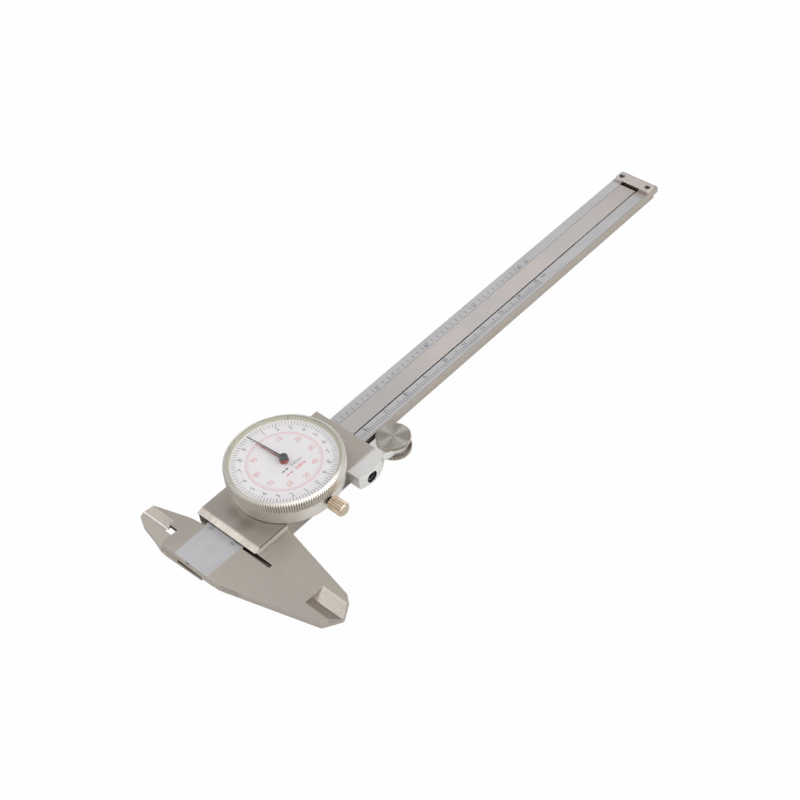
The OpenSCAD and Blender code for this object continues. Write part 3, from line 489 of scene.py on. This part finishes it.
def enamel(name, colour, shade, rough, speck):
    material, bench, surface = startMaterial(name)
    p = enamelSet
    cloud = bench.noise(bench.place(), p["cloud"], 2.0, 0.5)
    grain = bench.noise(bench.place(), speck, 2.0, 0.6)
    bench.put(surface.inputs["Base Color"], bench.mix(bench.span(cloud, 0.3, 0.7), colour, shade))
    bench.put(surface.inputs["Roughness"], bench.math("MULTIPLY_ADD", grain, p["spread"], rough))
    bump = bench.add("ShaderNodeBump")
    bump.inputs["Strength"].default_value = p["bump"]
    bump.inputs["Distance"].default_value = p["bumpDepth"] * mm
    bench.put(bump.inputs["Height"], grain)
    bench.put(surface.inputs["Normal"], bump.outputs[0])
    return material


ringSet = {"colour": (0.52, 0.51, 0.42), "shade": (0.475, 0.465, 0.385), "rough": 0.40, "speck": 3000.0,
           "innerColour": (0.84, 0.835, 0.78), "innerFade": (16.95, 17.6)}  # the ring's own cream, with painted shade of the bezel's wall on its outer part, paler where it meets the dial


def creamRing():
    p = ringSet
    material = enamel("creamRing", p["colour"], p["shade"], p["rough"], p["speck"])
    bench = Bench(material.node_tree)
    surface = material.node_tree.nodes["Principled BSDF"]
    reach = bench.vector("LENGTH", bench.vector("MULTIPLY", bench.place(dialAxis, (1000, 1000, 1000)), (1, 1, 0)))
    plain = surface.inputs["Base Color"].links[0].from_socket
    # painted shade: the cream darkens towards the bezel's wall
    bench.put(surface.inputs["Base Color"], bench.mix(bench.span(reach, *p["innerFade"]), p["innerColour"], plain))
    return material


windowSet = {"colour": (0.985, 0.985, 0.985), "bend": 1.12, "hazeScale": 60.0, "hazeContrast": (0.35, 0.75),
             "hazeRough": (0.0, 0.03), "shadow": (0.97, 0.97, 0.96)}


def clearWindow():
    p = windowSet
    material, bench, surface = startMaterial("clearWindow")
    haze = bench.noise(bench.place(), p["hazeScale"], 3.0, 0.6)
    surface.inputs["Base Color"].default_value = (*p["colour"], 1)
    surface.inputs["Transmission Weight"].default_value = 1.0
    surface.inputs["IOR"].default_value = p["bend"]
    bench.put(surface.inputs["Roughness"], bench.span(haze, *p["hazeContrast"], *p["hazeRough"]))
    path = bench.add("ShaderNodeLightPath").outputs
    seen = bench.math("MAXIMUM", path["Is Shadow Ray"], path["Is Diffuse Ray"])  # light falls through onto the dial
    clear = bench.add("ShaderNodeBsdfTransparent")
    clear.inputs[0].default_value = (*p["shadow"], 1)
    blend = bench.add("ShaderNodeMixShader")
    bench.put(blend.inputs[0], seen)
    bench.put(blend.inputs[1], surface.outputs[0])
    bench.put(blend.inputs[2], clear.outputs[0])
    bench.put(material.node_tree.nodes["Material Output"].inputs["Surface"], blend.outputs[0])
    return material


finishes["beam_steel"] = beamSteel()
finishes["black_lacquer"] = lacquer("blueBlackLacquer", (0.075, 0.085, 0.10), (0.05, 0.058, 0.07), 0.24, 0.5)
finishes["red_lacquer"] = lacquer("brickLacquer", (0.36, 0.10, 0.07), (0.27, 0.07, 0.05), 0.26, 0.5)
finishes["dial_white"] = enamel("dialEnamel", (0.855, 0.83, 0.865), (0.83, 0.81, 0.845), 0.42, 5000.0)
finishes["ring_cream"] = creamRing()
finishes["window"] = clearWindow()
inkBlack = enamel("scaleInk", (0.06, 0.06, 0.07), (0.10, 0.10, 0.11), 0.50, 4000.0)
inkGrey = enamel("etchedMark", (0.08, 0.08, 0.09), (0.15, 0.15, 0.16), 0.48, 4000.0)
inkRed = enamel("redInk", (0.76, 0.20, 0.22), (0.70, 0.17, 0.19), 0.50, 4000.0)

for row in frame["record"]["subparts"]:
    piece = nodes[row["node"]]
    piece.data.materials.clear()
    piece.data.materials.append(finishes[row["material_slot"]])
nodes["slide_lock_screw"].data.materials[0] = lockSteel
nodes["end_stop"].data.materials[0] = stopSteel
print("finishes on all CAD pieces")


def finishPiece(bm, name, material, body):
    mesh = bpy.data.meshes.new(name)
    bm.to_mesh(mesh)
    bm.free()
    mesh.materials.append(material)
    piece = bpy.data.objects.new(name, mesh)
    bpy.context.scene.collection.objects.link(piece)
    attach(piece, body)
    return piece


def addBar(bm, centre, size, turn=0.0, tilt=0.0):  # one mark; centre and size in mm
    spot = Matrix.Translation(Vector(centre) * mm) @ Matrix.Rotation(turn, 4, "Z") @ Matrix.Rotation(tilt, 4, "Y")
    bmesh.ops.create_cube(bm, size=1.0, matrix=spot @ Matrix.Diagonal((*[v * mm for v in size], 1.0)))


capShare = 0.70  # height of a numeral in the font's size


def addWords(bm, words, height, centre, thick, squeeze=0.9, weight=0.0):  # text laid flat, read along +X
    font = bpy.data.curves.new("words", "FONT")
    font.body = words
    font.size = height * mm / capShare
    font.extrude = thick * mm / 2
    font.offset = weight * mm
    font.resolution_u = 3
    holder = bpy.data.objects.new("words", font)
    bpy.context.scene.collection.objects.link(holder)
    bpy.context.view_layer.update()
    mesh = bpy.data.meshes.new_from_object(holder.evaluated_get(bpy.context.evaluated_depsgraph_get()))
    spots = [v.co for v in mesh.vertices]
    middle = [(min(c[i] for c in spots) + max(c[i] for c in spots)) / 2 for i in range(3)]
    mesh.transform(Matrix.Translation(Vector(centre) * mm) @ Matrix.Diagonal((squeeze, 1, 1, 1))
                   @ Matrix.Translation(-Vector(middle)))
    bm.from_mesh(mesh)
    bpy.data.objects.remove(holder)
    bpy.data.curves.remove(font)
    bpy.data.meshes.remove(mesh)


dialPrint = {
    "centre": (27.0, 0.0), "face": 14.6, "thick": 0.02, "ticks": 100, "outer": 16.95, "inner": 15.35,
    "longInner": 14.95, "zero": 90.8, "width": 0.105, "longWidth": 0.14, "numeralRadius": 14.1, "numeralHeight": 1.75,
    "numeralWeight": -0.04, "numeralSqueeze": 0.9, "narrowSqueeze": 0.85, "numerals": 20, "redNumerals": 10,
    "redRadius": 12.22, "redInner": 11.25, "redLongInner": 10.95, "redWidth": 0.08, "redCircle": 0.09,
    "redNumeralRadius": 9.65, "redNumeralHeight": 1.85, "redWeight": -0.045, "legendWeight": -0.02,
    "redLegendWeight": 0.025, "legendX": 29.2, "legendHeight": 1.15, "blackLegendY": -3.0, "redLegendY": -5.05,
    "signX": (23.7, 25.2), "signBar": (2.9, 0.11), "signShift": -0.2, "signDot": (0.44, 0.32),
    "indexTurn": 40.8, "indexSpot": (17.72, 15.25), "indexSize": (1.0, 0.2, 0.03), "ringSlope": -41.0}


def around(centre, radius, degrees, level):
    turn = math.radians(degrees)
    return centre[0] + radius * math.cos(turn), centre[1] + radius * math.sin(turn), level


def addRing(bm, centre, profile, steps=160):  # a closed profile of radius and level in mm, spun into a ring
    verts = [bm.verts.new(((centre[0] + r) * mm, centre[1] * mm, z * mm)) for r, z in profile]
    edges = [bm.edges.new((verts[i], verts[(i + 1) % len(verts)])) for i in range(len(verts))]
    bmesh.ops.spin(bm, geom=verts + edges, cent=(centre[0] * mm, centre[1] * mm, 0), axis=(0, 0, 1),
                   angle=math.tau, steps=steps, use_merge=True)
    bmesh.ops.remove_doubles(bm, verts=bm.verts[:], dist=1e-7)
    bmesh.ops.recalc_face_normals(bm, faces=bm.faces[:])


def addTickCircle(bm, p, outer, inner, longInner, width, longWidth, level):
    for step in range(p["ticks"]):
        isLong = step % 5 == 0
        near = longInner if isLong else inner
        degrees = p["zero"] - step * 360 / p["ticks"]
        spot = around(p["centre"], (near + outer) / 2, degrees, level)
        addBar(bm, spot, (outer - near, longWidth if isLong else width, p["thick"]), math.radians(degrees))


def addSign(bm, p, y, level):  # the small pointer sign before each legend
    xs, thick, (wide, high) = p["signX"], p["thick"], p["signDot"]
    addBar(bm, (sum(xs) / 2 + p["signShift"], y, level), (*p["signBar"], thick))
    for x in xs:
        spot = Matrix.Translation(Vector((x, y, level - thick / 2)) * mm)
        spot = spot @ Matrix.Diagonal((wide * mm, high * mm, 1, 1))
        made = bmesh.ops.create_circle(bm, cap_ends=True, segments=6, radius=1.0, matrix=spot)
        grown = bmesh.ops.extrude_face_region(bm, geom=made["verts"][0].link_faces[:])
        tips = [g for g in grown["geom"] if isinstance(g, bmesh.types.BMVert)]
        bmesh.ops.translate(bm, verts=tips, vec=(0, 0, thick * mm))


def makeDialPrint():
    p = dialPrint
    level = p["face"] + p["thick"] / 2
    bm = bmesh.new()
    addTickCircle(bm, p, p["outer"], p["inner"], p["longInner"], p["width"], p["longWidth"], level)
    for step in range(p["numerals"]):
        spot = around(p["centre"], p["numeralRadius"], p["zero"] - step * 360 / p["numerals"], level)
        addWords(bm, str(step % 10), p["numeralHeight"], spot, p["thick"], p["numeralSqueeze"], p["numeralWeight"])
    radius, height = p["indexSpot"]
    addBar(bm, around(p["centre"], radius, p["indexTurn"], height), p["indexSize"], math.radians(p["indexTurn"]),
           math.radians(p["ringSlope"]))
    addSign(bm, p, p["blackLegendY"], level)
    addWords(bm, "0.02mm", p["legendHeight"], (p["legendX"], p["blackLegendY"], level), p["thick"], p["narrowSqueeze"],
             p["legendWeight"])
    finishPiece(bm, "dialPrintBlack", inkBlack, "bezel")
    bm = bmesh.new()
    inner, outer, top = p["redRadius"] - p["redCircle"], p["redRadius"], p["face"] + p["thick"]
    addRing(bm, p["centre"], [(inner, p["face"]), (outer, p["face"]), (outer, top), (inner, top)])
    addTickCircle(bm, p, p["redRadius"], p["redInner"], p["redLongInner"], p["redWidth"], p["redWidth"], level)
    for step in range(p["redNumerals"]):
        spot = around(p["centre"], p["redNumeralRadius"], p["zero"] - step * 360 / p["redNumerals"], level)
        addWords(bm, str(step * 10), p["redNumeralHeight"], spot, p["thick"], p["narrowSqueeze"], p["redWeight"])
    addSign(bm, p, p["redLegendY"], level)
    addWords(bm, "0.001in", p["legendHeight"], (p["legendX"], p["redLegendY"], level), p["thick"], p["narrowSqueeze"],
             p["redLegendWeight"])
    finishPiece(bm, "dialPrintRed", inkRed, "bezel")


beamScale = {
    "top": 5.1, "thick": 0.03, "offset": -0.75, "millimetres": 150, "tenths": 60, "width": 0.17,
    "low": -6.5, "shortHigh": -4.95, "longHigh": -4.1, "numeralY": -4.2, "numeralX": -1.65, "wideX": -1.3,
    "numeralHeight": 1.6, "inchLow": 4.75, "inchHigh": 6.2, "inchLongHigh": 6.6, "inchNumeralY": 5.35,
    "inchNumeralX": -1.7, "unitX": 152.6, "unitHeight": 1.5, "unitDrop": 0.3, "inchUnitShift": 2.2, "inch": 25.4,
    "centimetres": 15, "inches": 6, "squeeze": 0.85, "sink": 0.005}


def makeBeamScale():
    p = beamScale
    level = p["top"] + p["thick"] / 2 - p["sink"]
    bm = bmesh.new()
    for step in range(p["millimetres"] + 1):
        high = p["longHigh"] if step % 5 == 0 and (step % 10 or step < 100) else p["shortHigh"]
        addBar(bm, (step + p["offset"], (p["low"] + high) / 2, level), (p["width"], high - p["low"], p["thick"]))
    for step in range(p["centimetres"] + 1):
        spot = (step * 10 + (p["numeralX"] if step < 10 else p["wideX"]), p["numeralY"], level)
        addWords(bm, str(step), p["numeralHeight"], spot, p["thick"], p["squeeze"])
    addWords(bm, "cm", p["unitHeight"], (p["unitX"], p["numeralY"] - p["unitDrop"], level), p["thick"])
    finishPiece(bm, "centimetreScale", inkGrey, "beam")
    bm = bmesh.new()
    for step in range(p["tenths"] + 1):
        high = p["inchLongHigh"] if step % 10 == 0 else p["inchHigh"]
        addBar(bm, (step * p["inch"] / 10 + p["offset"], (p["inchLow"] + high) / 2, level),
               (p["width"], high - p["inchLow"], p["thick"]))
    for step in range(p["inches"] + 1):
        spot = (step * p["inch"] + p["inchNumeralX"], p["inchNumeralY"], level)
        addWords(bm, str(step), p["numeralHeight"], spot, p["thick"], p["squeeze"])
    addWords(bm, "in", p["unitHeight"], (p["unitX"] + p["inchUnitShift"], p["inchNumeralY"], level), p["thick"])
    finishPiece(bm, "inchScale", inkGrey, "beam")


makeDialPrint()
makeBeamScale()
print("graduations on dial and beam")


rimTeeth = {
    "centre": (27.0, 0.0), "count": 150, "slope": 43.3,
    "rim": (18.83, 15.88, (1.42, 0.40, 0.22)), "foot": (19.20, 12.05, (0.50, 0.40, 0.66)),
    "lip": [(18.24, 15.95), (18.72, 15.95), (18.30, 16.36), (18.24, 16.36)],
    "skirt": [(18.62, 11.72), (18.97, 11.72), (18.97, 12.05), (18.62, 12.05)]}


def makeRimTeeth():  # the bezel's ribs run on over its sloping rim
    p = rimTeeth
    bm = bmesh.new()
    for step in range(p["count"]):
        degrees = step * 360 / p["count"]
        for (radius, level, size), slope in ((p["rim"], p["slope"]), (p["foot"], 0.0)):
            addBar(bm, around(p["centre"], radius, degrees, level), size, math.radians(degrees), math.radians(slope))
    addRing(bm, p["centre"], p["lip"])
    addRing(bm, p["centre"], p["skirt"])
    finishPiece(bm, "bezelRimTeeth", rimMetal, "bezel")


lockKnob = {
    "spot": (27.0, 0.0, 9.6), "ribs": 18, "crest": 2.42, "valley": 2.08, "start": 20.1, "end": 25.1, "round": 0.05,
    "tip": (25.1, 25.5, 2.12, 1.84), "neck": (18.7, 20.1, 1.5, 1.5), "stem": (17.3, 18.7, 0.9, 0.9)}


def makeLockKnob():  # ribs with rounded crests, a chamfered end and a thinner neck
    p = lockKnob
    bm = bmesh.new()
    made = bmesh.ops.create_circle(bm, cap_ends=True, segments=4 * p["ribs"], radius=p["crest"] * mm,
                                   matrix=Matrix.Translation((0, 0, p["start"] * mm)))
    for step, vert in enumerate(made["verts"]):
        if step % 4 > 1:
            vert.co.xy *= p["valley"] / p["crest"]
    grown = bmesh.ops.extrude_face_region(bm, geom=bm.faces[:])
    bmesh.ops.translate(bm, verts=[g for g in grown["geom"] if isinstance(g, bmesh.types.BMVert)],
                        vec=(0, 0, (p["end"] - p["start"]) * mm))
    ribs = [e for e in bm.edges if abs(e.verts[0].co.z - e.verts[1].co.z) > mm]
    bmesh.ops.bevel(bm, geom=ribs, offset=p["round"] * mm, affect="EDGES", segments=2, profile=0.5, material=-1)
    for low, high, wide, narrow in (p["tip"], p["neck"], p["stem"]):
        bmesh.ops.create_cone(bm, cap_ends=True, segments=48, radius1=wide * mm, radius2=narrow * mm,
                              depth=(high - low) * mm, matrix=Matrix.Translation((0, 0, (low + high) / 2 * mm)))
    bmesh.ops.recalc_face_normals(bm, faces=bm.faces[:])
    bmesh.ops.transform(bm, verts=bm.verts[:],
                        matrix=Matrix.Translation(Vector(p["spot"]) * mm) @ Matrix.Rotation(math.pi / 2, 4, "X"))
    knob = finishPiece(bm, "bezelLockKnob", finishes["lock_brass"], "bezel_lock")
    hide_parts("bezel_lock_screw")


makeRimTeeth()
makeLockKnob()
print("bezel rim and lock knob")


studio = {
    "floorSize": 6.0, "floorLevel": -0.00005, "floorColour": (0.80, 0.80, 0.80), "cameraShare": 0.97,
    "mirrorShare": 0.06, "floorRough": 0.9, "horizon": 0.50, "middle": 0.66, "zenith": 0.60,
    "lowRise": (0.1, 0.55), "highRise": (0.8, 0.98), "aim": (0.03, 0.0, 0.0),
    "keyPower": 0.75, "keySize": 0.40, "keySpot": (-0.129, 0.398, 0.536),
    "fillPower": 0.70, "fillSize": 0.34, "fillSpot": (0.336, -0.421, 0.406)}
panels = [  # soft bright fields on the room's walls: direction in degrees, strength, half widths
    {"turn": -108.0, "rise": 36.0, "glow": 0.75, "inner": 16.0, "outer": 50.0},
    {"turn": -66.0, "rise": 8.0, "glow": 0.7, "inner": 8.0, "outer": 28.0}]


def addFloor():
    bm = bmesh.new()
    bmesh.ops.create_grid(bm, x_segments=1, y_segments=1, size=studio["floorSize"] / 2,
                          matrix=Matrix.Translation((0, 0, studio["floorLevel"])))
    mesh = bpy.data.meshes.new("floor")
    bm.to_mesh(mesh)
    bm.free()
    floor = bpy.data.objects.new("floor", mesh)
    bpy.context.scene.collection.objects.link(floor)
    material, bench, surface = startMaterial("paperFloor")
    bench.put(surface.inputs["Base Color"], studio["floorColour"])
    surface.inputs["Roughness"].default_value = studio["floorRough"]
    glow = bench.add("ShaderNodeEmission")
    path = bench.add("ShaderNodeLightPath").outputs
    mirrored = bench.math("MAXIMUM", path["Is Glossy Ray"], path["Is Transmission Ray"])
    seen = bench.math("MULTIPLY", path["Is Camera Ray"], studio["cameraShare"])
    white = bench.add("ShaderNodeMixShader")
    bench.put(white.inputs[0], bench.math("MAXIMUM", seen, bench.math("MULTIPLY", mirrored, studio["mirrorShare"])))
    bench.put(white.inputs[1], surface.outputs[0])
    bench.put(white.inputs[2], glow.outputs[0])
    under = bench.add("ShaderNodeMixShader")  # open from below, so that the back can be seen
    bench.put(under.inputs[0], bench.add("ShaderNodeNewGeometry").outputs["Backfacing"])
    bench.put(under.inputs[1], white.outputs[0])
    bench.put(under.inputs[2], bench.add("ShaderNodeBsdfTransparent").outputs[0])
    bench.put(material.node_tree.nodes["Material Output"].inputs["Surface"], under.outputs[0])
    floor.data.materials.append(material)


def addWorld():
    world = bpy.data.worlds.new("studioRoom")
    bpy.context.scene.world = world
    world.use_nodes = True
    bench = Bench(world.node_tree)
    back = world.node_tree.nodes["Background"]
    split = bench.add("ShaderNodeSeparateXYZ")
    bench.put(split.inputs[0], bench.add("ShaderNodeTexCoord").outputs["Generated"])
    rise = split.outputs[2]
    room = bench.span(rise, *studio["lowRise"], studio["horizon"], studio["middle"])
    overhead = bench.span(rise, *studio["highRise"], 0.0, studio["zenith"] - studio["middle"])
    room = bench.math("ADD", room, overhead)
    for panel in panels:
        turn, tilt = math.radians(panel["turn"]), math.radians(panel["rise"])
        aim = (math.cos(tilt) * math.cos(turn), math.cos(tilt) * math.sin(turn), math.sin(tilt))
        near = bench.vector("DOT_PRODUCT", bench.add("ShaderNodeTexCoord").outputs["Generated"], aim)
        edges = [math.cos(math.radians(panel[k])) for k in ("outer", "inner")]
        room = bench.math("ADD", room, bench.span(near, *edges, 0.0, panel["glow"]))
    path = bench.add("ShaderNodeLightPath").outputs
    back.inputs["Color"].default_value = (1, 1, 1, 1)
    bench.put(back.inputs["Strength"], bench.math("MAXIMUM", room, path["Is Camera Ray"]))


def addSoftBox(name, power, spot, size):
    lamp = bpy.data.lights.new(name, "AREA")
    lamp.energy = power
    lamp.shape = "RECTANGLE"
    lamp.size = lamp.size_y = size
    holder = bpy.data.objects.new(name, lamp)
    holder.location = spot
    holder.rotation_euler = (Vector(studio["aim"]) - Vector(spot)).to_track_quat("-Z", "Y").to_euler()
    bpy.context.scene.collection.objects.link(holder)


cameraSet = {
    "spot": (-0.15869880, -0.24852073, 0.35620236), "turn": (0.76976613, 0.07790095, -0.83964954),
    "lens": 66.14988, "shift": (0.0077950, -0.0109998), "sensor": 36.0, "clip": (0.01, 20.0)}


def addCamera():
    lens = bpy.data.cameras.new("photoCamera")
    lens.sensor_width = cameraSet["sensor"]
    lens.lens = cameraSet["lens"]
    lens.shift_x, lens.shift_y = cameraSet["shift"]
    lens.clip_start, lens.clip_end = cameraSet["clip"]
    holder = bpy.data.objects.new("photoCamera", lens)
    holder.location = cameraSet["spot"]
    holder.rotation_euler = cameraSet["turn"]
    bpy.context.scene.collection.objects.link(holder)
    bpy.context.scene.camera = holder


addFloor()
addWorld()
addSoftBox("keyBox", studio["keyPower"], studio["keySpot"], studio["keySize"])
addSoftBox("fillBox", studio["fillPower"], studio["fillSpot"], studio["fillSize"])
addCamera()
bpy.context.scene.view_settings.view_transform = "Standard"
print("studio: floor, room, two soft boxes, camera")
